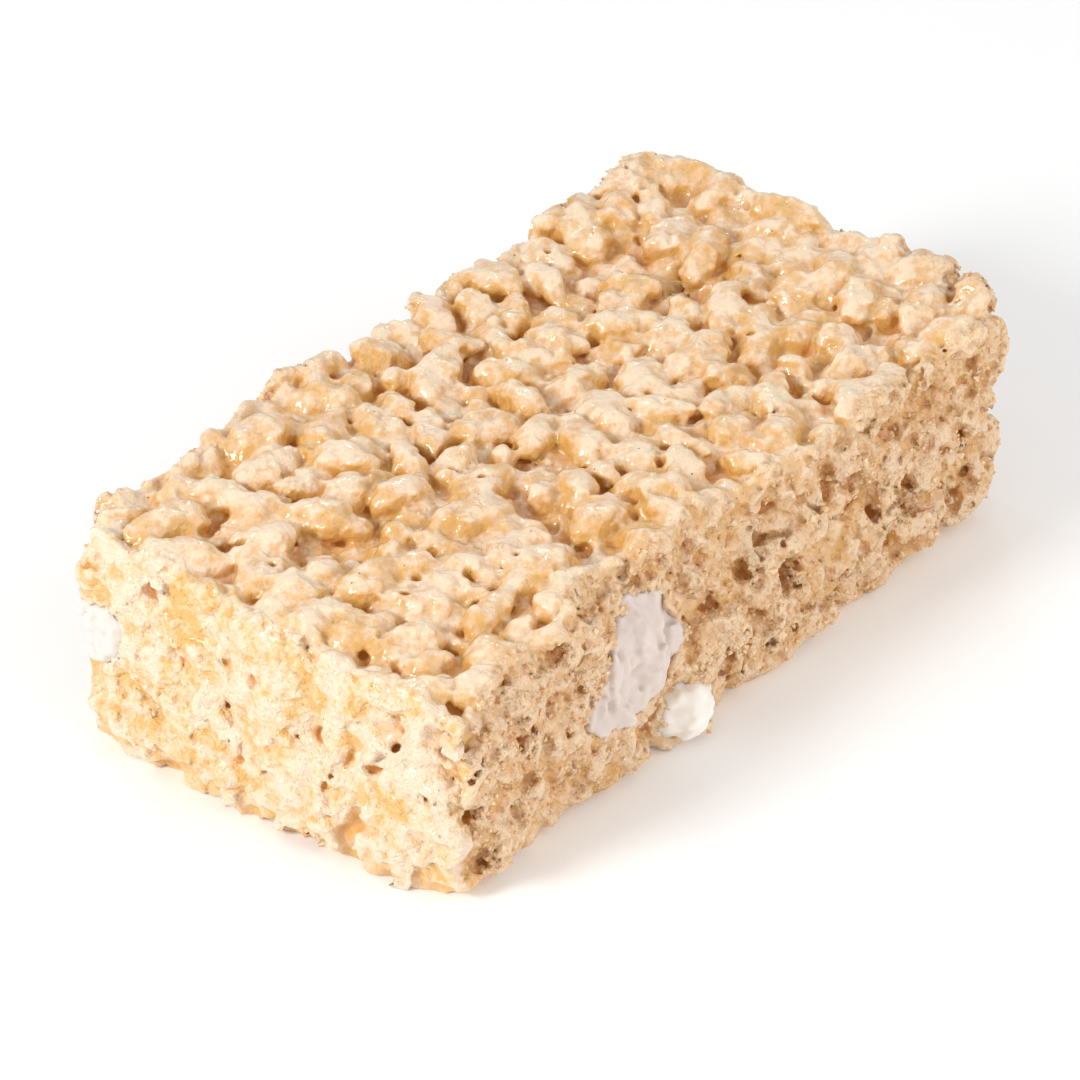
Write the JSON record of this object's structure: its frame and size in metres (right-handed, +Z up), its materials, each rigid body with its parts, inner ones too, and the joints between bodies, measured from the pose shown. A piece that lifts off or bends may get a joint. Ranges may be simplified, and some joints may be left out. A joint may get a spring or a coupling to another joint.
{
  "type": "crisped rice and marshmallow bar",
  "caption": "Oblong bar of puffed rice grains bound in melted marshmallow, knife-cut on its sides, with unmelted marshmallow lumps showing; stands flat on its underside.",
  "frame": {"origin": "centre of the underside, on the surface that the bar rests on", "axes": "+X along the bar's length, +Y across its width away from the long cut side that leans in, +Z up"},
  "size_m": [0.1002, 0.0558, 0.0298],
  "materials": {
    "coated_rice": "toasted puffed rice under a sticky, glossy coat of melted marshmallow",
    "marshmallow": "soft matte white sugar foam"
  },
  "bodies": {
    "root": {"rice_block": "coated_rice", "marshmallow_side": "marshmallow", "marshmallow_foot": "marshmallow", "marshmallow_end": "marshmallow"}
  },
  "joints": []
}
